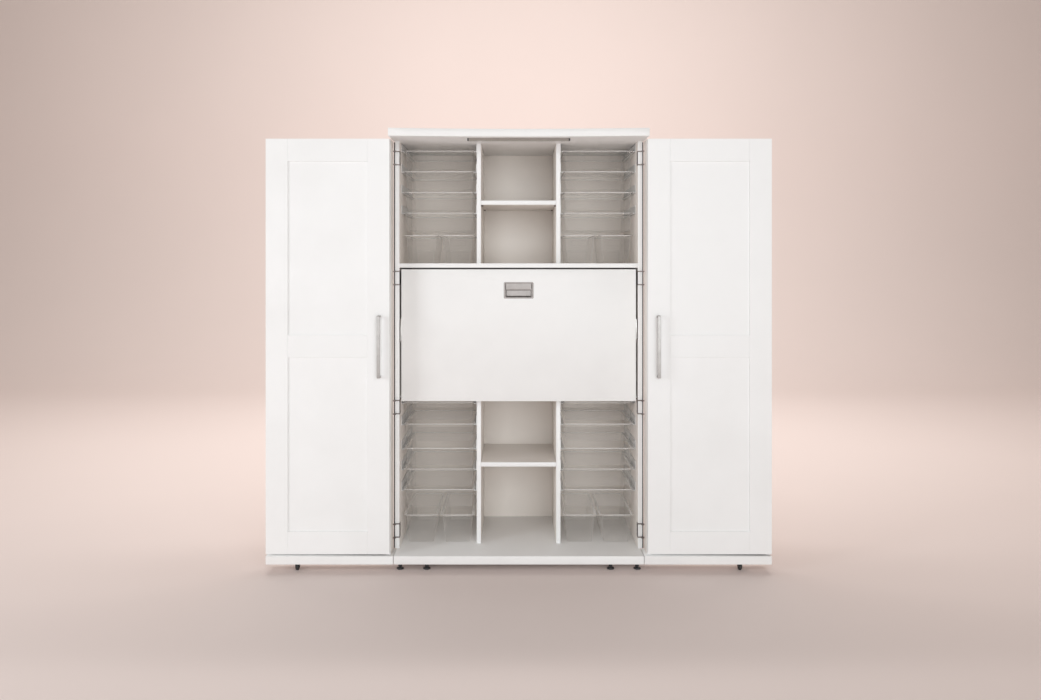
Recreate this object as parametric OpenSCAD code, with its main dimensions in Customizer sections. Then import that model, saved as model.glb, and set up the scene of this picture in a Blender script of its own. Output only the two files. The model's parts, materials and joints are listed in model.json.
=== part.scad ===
// Folding sewing table in a cabinet: a centre carcass with a drop-front work table,
// two hinged wing cabinets with shaker doors, and clear storage totes on rails.
// Millimetres. +Z is up, the front faces -Y, and the origin is on the floor, under the
// middle of the whole cabinet.

/* [Carcass] */
// Width over the outer faces of the two side panels
carcass_w = 1080; // [1040:5:1130]
// Height from the floor to the top of the top board
total_h = 1886; // [1880:1:1960]
// Depth from the front of the top board to the rear
total_d = 652; // [640:2:700]
// Thickness of the panels, dividers and shelves
board = 19; // [16:1:20]
// Thickness of the base boards
base_t = 35; // [30:1:38]
// Gap between the floor and the base boards
floor_gap = 40; // [38:1:50]
// Thickness of the top board
top_t = 33; // [28:1:40]
// How far the top board stands out past each side panel
top_overhang = 7; // [2:1:12]
// Depth of the hollow in the front edge of the top board
top_sag = 28; // [10:1:40]
// Distance from the front of the base to the front of the side panels
ledge = 104; // [100:1:110]
// Distance from the front of the side panels to the front of the dividers
divider_setback = 68; // [50:1:90]
// Thickness of the back panel
back_t = 8; // [6:1:10]

/* [Work table] */
// Height of the work surface above the floor
table_z = 737; // [730:1:745]
// Height of the fold-down panel when it is closed
table_h = 576; // [560:1:580]
// Gap at each end of the fold-down panel
table_gap = 8.5; // [8:0.5:10]
// Radius of the curved stays that hold the panel
stay_r = 260; // [240:5:280]

/* [Wings] */
// Width of each wing cabinet
wing_w = 529; // [499:2:559]
// Gap between each wing cabinet and the carcass
wing_gap = 7; // [6:0.5:8]
// Thickness of a door
door_t = 20; // [18:1:22]
// Width of the door stiles and rails
stile_w = 94; // [80:1:100]
// Depth of the door's two sunk panels
panel_sink = 6; // [3:1:8]
// Length of the bar handles
handle_len = 264; // [200:2:300]

/* [Totes] */
// Height of a wide tote
wide_h = 80; // [70:1:82]
// Height of a narrow tote
narrow_h = 126; // [110:1:128]
// Depth of the totes from front to back
tote_len = 370; // [320:5:380]
// Thickness of the tote walls
tote_wall = 2.5; // [2:0.5:3]

/* [Hidden] */
$fn = 48;
eps = 0.01;
joint_gap = 0.2;          // between boards that butt together in one node
side_x = carcass_w / 2;   // outer face of a side panel
side_in = side_x - board; // inner face of a side panel
front_y = -total_d / 2 + 62;     // front of the base boards and the doors
panel_y = front_y + ledge;       // front of the side panels
divider_y = panel_y + divider_setback;
rear_y = total_d / 2;
inner_rear_y = rear_y - back_t;  // front of the back panel
base_z = floor_gap + base_t;     // top of the base boards
base_x = side_x - 8;             // end of the carcass's base board
top_z = total_h - top_t;         // underside of the top board

// Work table
table_t = board;
table_x = side_in - table_gap;
pivot_y = panel_y + table_t / 2;
pivot_z = table_z - table_t / 2;
table_bottom = pivot_z - table_t / 2;
table_top = table_bottom + table_h;
pivot_r = 4;
running = 0.05;                  // radial clearance of a pin in its bore
shelf_z = table_top + 7;         // underside of the fixed shelf
shelf_top = shelf_z + board;
work_shelf_y = pivot_y + table_t;
stay_w = 24;
stay_t = 3;
stay_x = table_x + 1.5;          // inner face of a stay's plate
stay_slot_r = 4.3;
stud_r = 4;
cup_w = 130;
cup_h = 72;
cup_depth = 14;
cup_z = table_top - 92;          // centre of the cup pull

// Dividers and centre shelves
bay_w = (2 * side_in - 2 * board) / 3;
divider_in = bay_w / 2;          // face of a divider towards the middle
divider_out = divider_in + board;
bay_x = (divider_out + side_in) / 2; // middle of a side bay
centre_shelf_x = divider_in - 0.5;
upper_shelf_z = 1581;
lower_shelf_z = 416;
pin_r = 2.5;

// Wings
wing_in = side_x + wing_gap;
wing_out = wing_in + wing_w;
wing_y = panel_y - 1.5;          // back of a wing
wing_top = top_z - 2.5;
door_back = front_y + door_t;
wing_front = door_back + 2;      // front edges of the wing's boards
wing_back_t = 6;
wing_shelves = 2;
door_in = wing_in + 2;
door_out = wing_out - 0.5;
door_bottom = base_z + 8.5;
door_top = wing_top - 1;
rail_w = stile_w + 2;
mid_rail_z = (door_bottom + door_top) / 2; // middle of a door's middle rail
hinge_z = [153, 692, 1256, 1780];
hinge_h = 58;                    // between the middles of a hinge's two arms
leaf_t = 1.2;
leaf_d = 27;                     // how far a hinge's leaf runs back
arm_t = 5;
arm_r = 4;
knuckle_h = 15;
arm_clear = 1.5;                 // round a knuckle in its notch
wing_pivot_x = wing_in + 6;
wing_pivot_y = wing_y - 6.5;
wing_pin_r = 2.5;
door_pivot_x = door_out - 4;
door_pivot_y = door_back - 4.5;
pivot_end = 120;                 // from a door's end to its nearest pivot
pivot_pitch = (door_top - door_bottom - 2 * pivot_end) / 3;
door_pivot_z = [for (step = [0:3]) door_bottom + pivot_end + step * pivot_pitch];
door_pin_r = 1.5;
door_pin_h = 22;
tongue_t = 2;
tongue_r = 3.5;
door_chamfer = 3;
slot_depth = 6.5;                // of a tongue's slot, in front of the pivot
handle_x = door_in + 43.5;
handle_z = mid_rail_z;
handle_bar = 13;
handle_out = 32;
foot_x = base_x - 20;
foot_y = front_y + 63;
caster_x = wing_out - 124;
wheel_r = 17;
wheel_w = 14;
axle_r = 3;

// Light bar
light_w = 438;
light_d = 18;
light_h = 9;
light_y = -258;

// Totes
tote_front = divider_y + 2;
wide_rim_x = bay_w / 2 - 6;      // half the width over a wide tote's rim
wide_x = wide_rim_x - 11;        // half the width of its body
narrow_offset = bay_w / 4 - 2.5; // a narrow tote's middle from the middle of its bay
narrow_rim_x = narrow_offset - 5;
narrow_x = narrow_rim_x - 10;
rim_t = 2.5;
rail_t = 2;
ledge_w = 12;
rail_h = 38;
upper_rims = [for (row = [0:3]) 1546 + 92 * row];
lower_rims = [314, 406, 498, 606, 701];

SIDES = ["left", "right"];
LEVELS = ["upper", "lower"];
WIDE = [for (level = LEVELS, side = SIDES)
    for (row = [0:len(rims(level)) - 1]) [level, side, row]];
NARROW = [for (level = LEVELS, side = SIDES, place = ["outer", "inner"])
    [level, side, place]];

function rims(level) = level == "upper" ? upper_rims : lower_rims;
function side_sign(side) = side == "left" ? -1 : 1;
function wide_name(t) = str(t[0], "_", t[1], "_wide_tote_", t[2] + 1);
function narrow_name(t) = str(t[0], "_", t[1], "_narrow_tote_", t[2]);

// A box given by its lowest and highest corners
module block(low, high) {
    translate(low)
        cube(high - low);
}

// The children on the right as they are, or mirrored to the left
module on_side(side) {
    if (side == "left")
        mirror([1, 0, 0]) children();
    else
        children();
}

module on_both_sides() {
    for (side = SIDES)
        on_side(side) children();
}

// A round bar along X
module bar_x(r, x0, x1) {
    translate([x0, 0, 0])
        rotate([0, 90, 0])
            cylinder(r = r, h = x1 - x0);
}

// Carcass -----------------------------------------------------------------

module base_board() {
    color("white")
        block([-base_x, front_y, floor_gap], [base_x, rear_y, base_z]);
}

// The front edge is hollow: an arc through its two ends and its middle
module top_board() {
    half = side_x + top_overhang;
    arc_r = (half * half + top_sag * top_sag) / (2 * top_sag);
    color("white")
        difference() {
            block([-half, -rear_y, top_z], [half, rear_y, total_h]);
            translate([0, -rear_y + top_sag - arc_r, top_z - 1])
                cylinder(r = arc_r, h = top_t + 2, $fn = 96);
        }
}

module side_panel() {
    color("white")
        difference() {
            block([side_in, panel_y, base_z], [side_x, inner_rear_y, top_z]);
            translate([0, pivot_y, pivot_z])
                bar_x(pivot_r, side_in - 1, side_in + 12);
            translate([0, pivot_y, pivot_z + stay_r])
                bar_x(stud_r, side_in - 1, side_in + 12);
        }
}

module back_panel() {
    color("white")
        block([-side_x, inner_rear_y, base_z], [side_x, rear_y, top_z]);
}

// A pair above the fixed shelf and a pair below the work space
module dividers() {
    color("white")
        on_both_sides() {
            block([divider_in, divider_y, shelf_top], [divider_out, inner_rear_y, top_z]);
            block([divider_in, divider_y, base_z], [divider_out, inner_rear_y, table_bottom]);
        }
}

module fixed_shelf() {
    color("white")
        block([-side_in, panel_y, shelf_z], [side_in, inner_rear_y, shelf_top]);
}

// Floor of the work space, with a notch at each end for the tail of a stay
module work_shelf() {
    tail_y = pivot_y + stay_r;
    color("white")
        difference() {
            block([-side_in, work_shelf_y, table_bottom], [side_in, inner_rear_y, table_z]);
            on_both_sides()
                block([stay_x - 1.5, tail_y - 16, table_bottom - 1],
                      [side_in + 1, tail_y + 15, table_z + 1]);
        }
}

module centre_shelves() {
    color("white")
        for (z = [upper_shelf_z, lower_shelf_z])
            block([-centre_shelf_x, divider_y, z], [centre_shelf_x, inner_rear_y - 12, z + board]);
}

// Four pins under each centre shelf
module shelf_pins() {
    color("silver")
        for (z = [upper_shelf_z, lower_shelf_z], y = [divider_y + 37, inner_rear_y - 60])
            on_both_sides()
                translate([0, y, z - pin_r])
                    bar_x(pin_r, divider_in - 9, divider_in);
}

// Housing and diffuser of the lamp under the top board
module light_bar() {
    half = light_w / 2;
    lens = 3;
    color("whitesmoke")
        block([-half, light_y, top_z - light_h], [half, light_y + light_d, top_z]);
    color("white")
        block([-half + lens, light_y + lens, top_z - light_h - 2],
              [half - lens, light_y + light_d - lens, top_z - light_h - joint_gap]);
}

// An angle on each wall of a side bay for every wide tote's rim
module tote_rails() {
    color("whitesmoke")
        on_both_sides()
            for (rim_z = concat(upper_rims, lower_rims), wall = [-1, 1]) {
                wall_x = bay_x + wall * bay_w / 2;
                face_x = wall_x - wall * rail_t;
                lip_x = wall_x - wall * ledge_w;
                low = rim_z - rim_t - 0.5 - rail_t;
                ceiling = rim_z < table_bottom ? table_bottom : top_z;
                block([min(wall_x, face_x), divider_y + 1, low],
                      [max(wall_x, face_x), inner_rear_y - 20, min(low + rail_h, ceiling - 1)]);
                block([min(wall_x, lip_x), divider_y + 1, low],
                      [max(wall_x, lip_x), inner_rear_y - 20, low + rail_t]);
            }
}

module levelling_feet() {
    pad_r = 16;
    pad_h = 8;
    stem_r = 6;
    pitch = 115;                 // between the two feet of a pair
    rear_inset = 60;
    color("dimgray")
        on_both_sides()
            for (x = [foot_x - pitch, foot_x], y = [foot_y, rear_y - rear_inset])
                translate([x, y, 0]) {
                    cylinder(r = pad_r, h = pad_h);
                    cylinder(r = stem_r, h = floor_gap);
                }
}

// Table -------------------------------------------------------------------

module table_pivot_pins() {
    color("silver")
        on_both_sides()
            translate([0, pivot_y, pivot_z])
                bar_x(pivot_r, table_x - 25, side_in + 12);
}

// The studs that the curved stays slide on
module stay_studs() {
    color("silver")
        on_both_sides()
            translate([0, pivot_y, pivot_z + stay_r])
                bar_x(stud_r, table_x + 0.7, side_in + 12);
}

module table_panel() {
    color("white")
        difference() {
            block([-table_x, panel_y, table_bottom], [table_x, panel_y + table_t, table_top]);
            on_both_sides()
                translate([0, pivot_y, pivot_z])
                    bar_x(pivot_r + running, table_x - 26, table_x + 1);
            block([-cup_w / 2 + 4, panel_y - 1, cup_z - cup_h / 2 + 4],
                  [cup_w / 2 - 4, panel_y + cup_depth, cup_z + cup_h / 2 - 4]);
        }
}

// A flange around a deep finger cup with a lip across its upper half
module cup_pull() {
    half_w = cup_w / 2;
    half_h = cup_h / 2;
    wall = 1.5;
    body_w = half_w - 4;
    body_h = half_h - 4;
    back = panel_y + cup_depth;
    color("silver")
        difference() {
            union() {
                block([-half_w, panel_y - 1.5, cup_z - half_h], [half_w, panel_y, cup_z + half_h]);
                block([-body_w, panel_y - 1, cup_z - body_h], [body_w, back, cup_z + body_h]);
            }
            block([-body_w + wall, panel_y - 2, cup_z - body_h + wall],
                  [body_w - wall, back - wall, cup_z + 2]);
            block([-body_w + wall, panel_y + 3, cup_z - eps],
                  [body_w - wall, back - wall, cup_z + body_h - wall]);
        }
}

// Quarter rings centred on the table's pivot, with a slot for the stud
module quadrant_stays() {
    slot_turn = 90;
    tail = 4;
    tab_w = 17;                  // the tab stands against the table's end
    tab_h = 85;
    tab_low = stay_r + 5;
    spacer_h = 70;
    spacer_low = tab_low + tab_h - spacer_h;
    color("silver")
        on_both_sides()
            translate([0, pivot_y, pivot_z]) {
                difference() {
                    union() {
                        translate([stay_x, 0, 0])
                            ring_sector(stay_r - stay_w / 2, stay_r + stay_w / 2, stay_t,
                                        -tail, slot_turn + 2);
                        translate([stay_x, -tab_w / 2, tab_low])
                            cube([stay_t, tab_w, tab_h]);
                        translate([table_x, -tab_w / 2, spacer_low])
                            cube([stay_x - table_x + eps, tab_w, spacer_h]);
                    }
                    translate([stay_x - 1, 0, 0])
                        ring_sector(stay_r - stay_slot_r, stay_r + stay_slot_r, stay_t + 2,
                                    0, slot_turn);
                    for (turn = [0, slot_turn])
                        rotate([turn, 0, 0])
                            translate([0, stay_r, 0])
                                bar_x(stay_slot_r, stay_x - 1, stay_x + stay_t + 1);
                }
            }
}

// Part of a flat ring around the X axis, between two angles from +Y towards +Z
module ring_sector(r0, r1, t, a0, a1) {
    rotate([90, 0, 90])
        rotate([0, 0, a0])
            rotate_extrude(angle = a1 - a0, $fn = 96)
                translate([r0, 0])
                    square([r1 - r0, t]);
}

// Wings -------------------------------------------------------------------

// A leaf on the side panel's inner face, two arms across its front edge, and a knuckle
// at the end of each arm
module wing_hinges() {
    leaf_x = side_in - leaf_t;
    arm_y = panel_y - leaf_t;
    color("silver")
        on_both_sides()
            for (z = hinge_z)
                difference() {
                    union() {
                        block([leaf_x, arm_y, z - (hinge_h + arm_t) / 2],
                              [side_in, panel_y + leaf_d, z + (hinge_h + arm_t) / 2]);
                        for (end = [-1, 1])
                            translate([0, 0, z + end * hinge_h / 2])
                                wing_hinge_arm(leaf_x, arm_y);
                    }
                    translate([wing_pivot_x, wing_pivot_y, z - hinge_h])
                        cylinder(r = wing_pin_r, h = 2 * hinge_h);
                }
}

module wing_hinge_arm(leaf_x, arm_y) {
    block([leaf_x, arm_y, -arm_t / 2], [side_x, panel_y, arm_t / 2]);
    block([side_x - 6, wing_pivot_y - arm_r, -arm_t / 2], [side_x, panel_y, arm_t / 2]);
    block([side_x - eps, wing_pivot_y - arm_r, -arm_t / 2],
          [wing_pivot_x, wing_pivot_y + arm_r, arm_t / 2]);
    translate([wing_pivot_x, wing_pivot_y, -knuckle_h / 2])
        cylinder(r = arm_r, h = knuckle_h);
}

// One pin through both knuckles of each hinge
module wing_hinge_pins() {
    pin_h = hinge_h + knuckle_h;
    color("silver")
        on_both_sides()
            for (z = hinge_z)
                translate([wing_pivot_x, wing_pivot_y, z - pin_h / 2])
                    cylinder(r = wing_pin_r, h = pin_h);
}

// The two sides, the top, the back and the shallow shelves of a wing
module wing_boards() {
    inner = wing_in + board;
    outer = wing_out - board;
    back = wing_y - wing_back_t;
    pitch = (wing_top - board - base_z) / (wing_shelves + 1);
    shelf_t = 16;
    shelf_setback = 4;
    color("white") {
        wing_inner_side();
        block([outer, wing_front, base_z], [wing_out, wing_y, wing_top]);
        block([inner + joint_gap, wing_front, wing_top - board],
              [outer - joint_gap, wing_y, wing_top]);
        block([inner + joint_gap, back, base_z],
              [outer - joint_gap, wing_y, wing_top - board - joint_gap]);
        for (row = [1:wing_shelves])
            translate([0, 0, base_z + row * pitch])
                block([inner + joint_gap, wing_front + shelf_setback, -shelf_t / 2],
                      [outer - joint_gap, back - joint_gap, shelf_t / 2]);
    }
}

// The wing's side next to the carcass, notched and bored for the hinges
module wing_inner_side() {
    notch = knuckle_h + 2;
    difference() {
        block([wing_in, wing_front, base_z], [wing_in + board, wing_y, wing_top]);
        for (z = hinge_z) {
            translate([wing_pivot_x, wing_pivot_y, z - hinge_h / 2])
                cylinder(r = wing_pin_r + running, h = hinge_h);
            for (end = [-1, 1])
                translate([0, 0, z + end * hinge_h / 2])
                    block([wing_in - 1, wing_pivot_y - arm_r - arm_clear, -notch / 2],
                          [wing_pivot_x + arm_r + arm_clear, wing_y + 1, notch / 2]);
        }
    }
}

module wing_base() {
    color("white")
        block([base_x + 2.5, front_y, floor_gap], [wing_out, wing_y, base_z]);
}

// A shaker door: full-height stiles, three rails and two sunk panels, with a bore and a
// slot for each pivot in its rear outer edge, which is chamfered to turn past the wing
module wing_door() {
    inner = door_in + stile_w;
    outer = door_out - stile_w;
    slot_t = tongue_t + 0.6;
    color("white")
        difference() {
            block([door_in, front_y, door_bottom], [door_out, door_back, door_top]);
            translate([door_out, door_back, door_bottom - 1])
                rotate([0, 0, 45])
                    translate([-door_chamfer / sqrt(2), -door_chamfer, 0])
                        cube([door_chamfer * sqrt(2), 2 * door_chamfer, door_top - door_bottom + 2]);
            for (z = door_pivot_z) {
                block([door_pivot_x - tongue_r - 1, door_pivot_y - slot_depth, z - slot_t / 2],
                      [door_out + 1, door_back + 1, z + slot_t / 2]);
                translate([door_pivot_x, door_pivot_y, z - door_pin_h / 2 - 1])
                    cylinder(r = door_pin_r + running, h = door_pin_h + 2);
            }
            block([inner, front_y - 1, door_bottom + rail_w],
                  [outer, front_y + panel_sink, mid_rail_z - rail_w / 2]);
            block([inner, front_y - 1, mid_rail_z + rail_w / 2],
                  [outer, front_y + panel_sink, door_top - rail_w]);
        }
}

// A foot on the wing's front edge, a tongue into the door's slot, and a pin through it
module door_pivots() {
    foot_t = 0.8;
    foot_h = 34;
    foot_inward = 11;            // reach of the foot to each side of the pivot
    foot_outward = 2.5;
    color("silver")
        for (z = door_pivot_z)
            translate([door_pivot_x, door_pivot_y, z]) {
                cylinder(r = tongue_r, h = tongue_t, center = true);
                block([-tongue_r, 0, -tongue_t / 2],
                      [tongue_r, wing_front - door_pivot_y, tongue_t / 2]);
                block([-foot_inward, wing_front - door_pivot_y - foot_t, -foot_h / 2],
                      [foot_outward, wing_front - door_pivot_y, foot_h / 2]);
                cylinder(r = door_pin_r, h = door_pin_h, center = true);
            }
}

module door_handle() {
    bar_t = 7;
    leg_h = 8;
    low = handle_z - handle_len / 2;
    high = handle_z + handle_len / 2;
    bar_back = front_y - handle_out + bar_t;
    color("silver") {
        block([handle_x - handle_bar / 2, front_y - handle_out, low],
              [handle_x + handle_bar / 2, bar_back, high]);
        for (z = [low, high - leg_h])
            block([handle_x - handle_bar / 2, bar_back - eps, z],
                  [handle_x + handle_bar / 2, front_y, z + leg_h]);
    }
}

// Plate, two cheeks and axle, fixed square so that the wheel rolls along the wing's arc
module caster_fork() {
    steel = 2;                   // thickness of the plate and the cheeks
    plate_x = 20;
    plate_y = 18;
    cheek_y = 6;
    cheek_drop = 5;              // below the axle
    cheek_x = wheel_w / 2 + 0.5; // inner face of a cheek
    plate_z = floor_gap - steel;
    color("dimgray")
        translate([caster_x, (front_y + wing_y) / 2, 0]) {
            block([-plate_x, -plate_y, plate_z], [plate_x, plate_y, floor_gap]);
            for (end = [-1, 1])
                translate([end * (cheek_x + steel / 2), 0, 0])
                    block([-steel / 2, -cheek_y, wheel_r - cheek_drop],
                          [steel / 2, cheek_y, plate_z + eps]);
            translate([0, 0, wheel_r])
                bar_x(axle_r, -cheek_x - 1.5, cheek_x + 1.5);
        }
}

module caster_wheel() {
    color("dimgray")
        translate([caster_x, (front_y + wing_y) / 2, wheel_r])
            difference() {
                bar_x(wheel_r, -wheel_w / 2, wheel_w / 2);
                bar_x(axle_r + running, -wheel_w, wheel_w);
            }
}

// Totes -------------------------------------------------------------------

// An open box with a flat rim; body_x and rim_x are half widths
module tote(x, low, high, body_x, rim_x) {
    back = tote_front + tote_len;
    color("white", 0.4)
        translate([x, 0, 0])
            difference() {
                union() {
                    block([-body_x, tote_front + 6, low], [body_x, back - 6, high]);
                    block([-rim_x, tote_front, high - rim_t], [rim_x, back, high]);
                }
                block([-body_x + tote_wall, tote_front + 6 + tote_wall, low + tote_wall],
                      [body_x - tote_wall, back - 6 - tote_wall, high + 1]);
            }
}

module wide_tote(t) {
    rim_z = rims(t[0])[t[2]];
    tote(side_sign(t[1]) * bay_x, rim_z - wide_h, rim_z, wide_x, wide_rim_x);
}

module narrow_tote(t) {
    floor_z = t[0] == "upper" ? shelf_top : base_z;
    offset_x = t[2] == "outer" ? narrow_offset : -narrow_offset;
    x = side_sign(t[1]) * (bay_x + offset_x);
    tote(x, floor_z + 0.3, floor_z + narrow_h, narrow_x, narrow_rim_x);
}

base_board();
top_board();
on_side("left") side_panel();  // left_side_panel
on_side("right") side_panel();  // right_side_panel
back_panel();
dividers();
fixed_shelf();
work_shelf();
centre_shelves();
shelf_pins();
light_bar();
tote_rails();
levelling_feet();
table_pivot_pins();
stay_studs();
table_panel();
cup_pull();
quadrant_stays();
wing_hinges();
wing_hinge_pins();
for (side = SIDES) {
    on_side(side) wing_boards();
    on_side(side) wing_base();
    on_side(side) wing_door();
    on_side(side) door_pivots();
    on_side(side) door_handle();
    on_side(side) caster_fork();
    on_side(side) caster_wheel();
}
for (t = WIDE)
    wide_tote(t);
for (t = NARROW)
    narrow_tote(t);
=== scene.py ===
import json
import math

import bmesh
import bpy
from mathutils import Matrix, Vector


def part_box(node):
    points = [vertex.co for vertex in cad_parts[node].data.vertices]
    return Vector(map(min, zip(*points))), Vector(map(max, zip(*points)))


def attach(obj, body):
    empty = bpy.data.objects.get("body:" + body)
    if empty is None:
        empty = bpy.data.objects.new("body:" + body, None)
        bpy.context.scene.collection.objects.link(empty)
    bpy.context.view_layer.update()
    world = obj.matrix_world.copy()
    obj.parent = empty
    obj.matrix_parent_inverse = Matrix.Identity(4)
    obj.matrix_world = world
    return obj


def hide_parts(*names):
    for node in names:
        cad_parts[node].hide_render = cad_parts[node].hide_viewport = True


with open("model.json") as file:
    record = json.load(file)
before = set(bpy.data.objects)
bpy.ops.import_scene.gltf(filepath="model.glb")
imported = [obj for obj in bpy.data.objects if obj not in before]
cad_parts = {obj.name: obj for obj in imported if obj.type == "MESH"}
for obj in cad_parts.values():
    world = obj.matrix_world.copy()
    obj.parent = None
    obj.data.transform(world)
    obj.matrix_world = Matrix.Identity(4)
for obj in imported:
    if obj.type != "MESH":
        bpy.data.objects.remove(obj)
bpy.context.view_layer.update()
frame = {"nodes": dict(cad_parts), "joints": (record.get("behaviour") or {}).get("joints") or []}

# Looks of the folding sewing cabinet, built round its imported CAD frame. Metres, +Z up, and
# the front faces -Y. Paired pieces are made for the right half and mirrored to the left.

MM = 0.001
SIDES = (("left", -1), ("right", 1))
LEVELS = ("upper", "lower")
PLACES = ("outer", "inner")
ROWS = {"upper": 4, "lower": 5}


# Places taken from the frame ----------------------------------------------------------

panel_low, panel_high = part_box("right_side_panel")
table_low, table_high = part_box("table_panel")
top_low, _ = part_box("top_board")
base_low, base_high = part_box("base_board")
shelf_low, shelf_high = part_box("fixed_shelf")
work_low, work_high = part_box("work_shelf")
_, centre_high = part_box("centre_shelves")
divider_low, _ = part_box("dividers")
wing_low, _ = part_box("right_wing_boards")
door_low, door_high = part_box("right_wing_door")
_, hinge_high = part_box("wing_hinges")
board = panel_high.x - panel_low.x
divider_x = centre_high.x + 0.5 * MM  # the shelves stand half a millimetre off the dividers


def joint(name):
    return next(j for j in frame["joints"] if j["name"] == name)


# Materials ----------------------------------------------------------------------------

def new_material(name):
    """A material with an empty tree but for its output and a Principled shader."""
    material = bpy.data.materials.new(name)
    material.use_nodes = True
    tree = material.node_tree
    tree.nodes.clear()
    output = tree.nodes.new("ShaderNodeOutputMaterial")
    shader = tree.nodes.new("ShaderNodeBsdfPrincipled")
    tree.links.new(shader.outputs["BSDF"], output.inputs["Surface"])
    return material, tree, shader


def noise(tree, scale, detail=2.0, stretch=(1, 1, 1)):
    """Noise over the piece's own coordinates, at so many cells a metre."""
    coords = tree.nodes.new("ShaderNodeTexCoord")
    mapping = tree.nodes.new("ShaderNodeMapping")
    mapping.inputs["Scale"].default_value = stretch
    texture = tree.nodes.new("ShaderNodeTexNoise")
    texture.inputs["Scale"].default_value = scale
    texture.inputs["Detail"].default_value = detail
    tree.links.new(coords.outputs["Object"], mapping.inputs["Vector"])
    tree.links.new(mapping.outputs["Vector"], texture.inputs["Vector"])
    return texture.outputs["Fac"]


def spread(tree, value, low, high, start=0.3, end=0.7):
    """The value's range start to end stretched to low to high."""
    node = tree.nodes.new("ShaderNodeMapRange")
    node.inputs["From Min"].default_value = start
    node.inputs["From Max"].default_value = end
    node.inputs["To Min"].default_value = low
    node.inputs["To Max"].default_value = high
    tree.links.new(value, node.inputs["Value"])
    return node.outputs["Result"]


def math_node(tree, operation, first, second):
    node = tree.nodes.new("ShaderNodeMath")
    node.operation = operation
    for socket, value in zip(node.inputs, (first, second)):
        if isinstance(value, (int, float)):
            socket.default_value = value
        else:
            tree.links.new(value, socket)
    return node.outputs["Value"]


def mix_colours(tree, share, first, second):
    node = tree.nodes.new("ShaderNodeMix")
    node.data_type = "RGBA"
    tree.links.new(share, node.inputs["Factor"])
    for socket, value in ((node.inputs[6], first), (node.inputs[7], second)):
        if isinstance(value, tuple):
            socket.default_value = (*value, 1)
        else:
            tree.links.new(value, socket)
    return node.outputs[2]


def add_bump(tree, shader, height, strength, distance):
    bump = tree.nodes.new("ShaderNodeBump")
    bump.inputs["Strength"].default_value = strength
    bump.inputs["Distance"].default_value = distance
    tree.links.new(height, bump.inputs["Height"])
    tree.links.new(bump.outputs["Normal"], shader.inputs["Normal"])


def laminate(name, light=(0.895, 0.888, 0.878), band_y=None):
    """White melamine with a fine orange peel, in the given tone. band_y is the front of a board,
     where its edge band ends in a fine seam; the band stays plain white, so on boards given a painted
     shade tone it shows whiter."""
    material, tree, shader = new_material(name)
    mottle = noise(tree, 7, 4)
    speck = noise(tree, 620, 2)
    dark = tuple(0.97 * c for c in light)
    colour = mix_colours(tree, spread(tree, mottle, 0, 1), dark, light)
    colour = mix_colours(tree, spread(tree, speck, 0, 0.12, 0.52, 0.8), colour, (0.72, 0.70, 0.68))
    if band_y is not None:
        coords = tree.nodes.new("ShaderNodeTexCoord")
        split = tree.nodes.new("ShaderNodeSeparateXYZ")
        tree.links.new(coords.outputs["Object"], split.inputs["Vector"])
        offset = math_node(tree, "SUBTRACT", split.outputs["Y"], band_y + 1.4 * MM)
        band = math_node(tree, "LESS_THAN", offset, 0)
        colour = mix_colours(tree, band, colour, (0.90, 0.897, 0.892))
        seam = math_node(tree, "LESS_THAN", math_node(tree, "ABSOLUTE", offset, 0), 0.12 * MM)
        colour = mix_colours(tree, math_node(tree, "MULTIPLY", seam, 0.5), colour, (0.55, 0.53, 0.5))
    tree.links.new(colour, shader.inputs["Base Color"])
    tree.links.new(spread(tree, mottle, 0.36, 0.46), shader.inputs["Roughness"])
    add_bump(tree, shader, noise(tree, 340, 3), 0.12, 0.15 * MM)
    return material


def lacquer(name):
    """Sprayed white paint on the doors, smoother than the boards."""
    material, tree, shader = new_material(name)
    mottle = noise(tree, 5, 3)
    colour = mix_colours(tree, spread(tree, mottle, 0, 1), (0.875, 0.872, 0.865), (0.9, 0.898, 0.893))
    tree.links.new(colour, shader.inputs["Base Color"])
    tree.links.new(spread(tree, mottle, 0.32, 0.4), shader.inputs["Roughness"])
    add_bump(tree, shader, noise(tree, 210, 2), 0.1, 0.12 * MM)
    return material


def brushed_metal(name, colour, stretch, rough=(0.27, 0.4)):
    """Metal with fine scratches along the axis whose stretch is small."""
    material, tree, shader = new_material(name)
    scratches = noise(tree, 1.0, 4, stretch)
    cloud = noise(tree, 40, 2)
    dark = tuple(0.86 * c for c in colour)
    colour = mix_colours(tree, spread(tree, cloud, 0, 1), dark, colour)
    tree.links.new(colour, shader.inputs["Base Color"])
    tree.links.new(spread(tree, scratches, *rough), shader.inputs["Roughness"])
    shader.inputs["Metallic"].default_value = 1.0
    add_bump(tree, shader, scratches, 0.15, 0.06 * MM)
    return material


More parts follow.
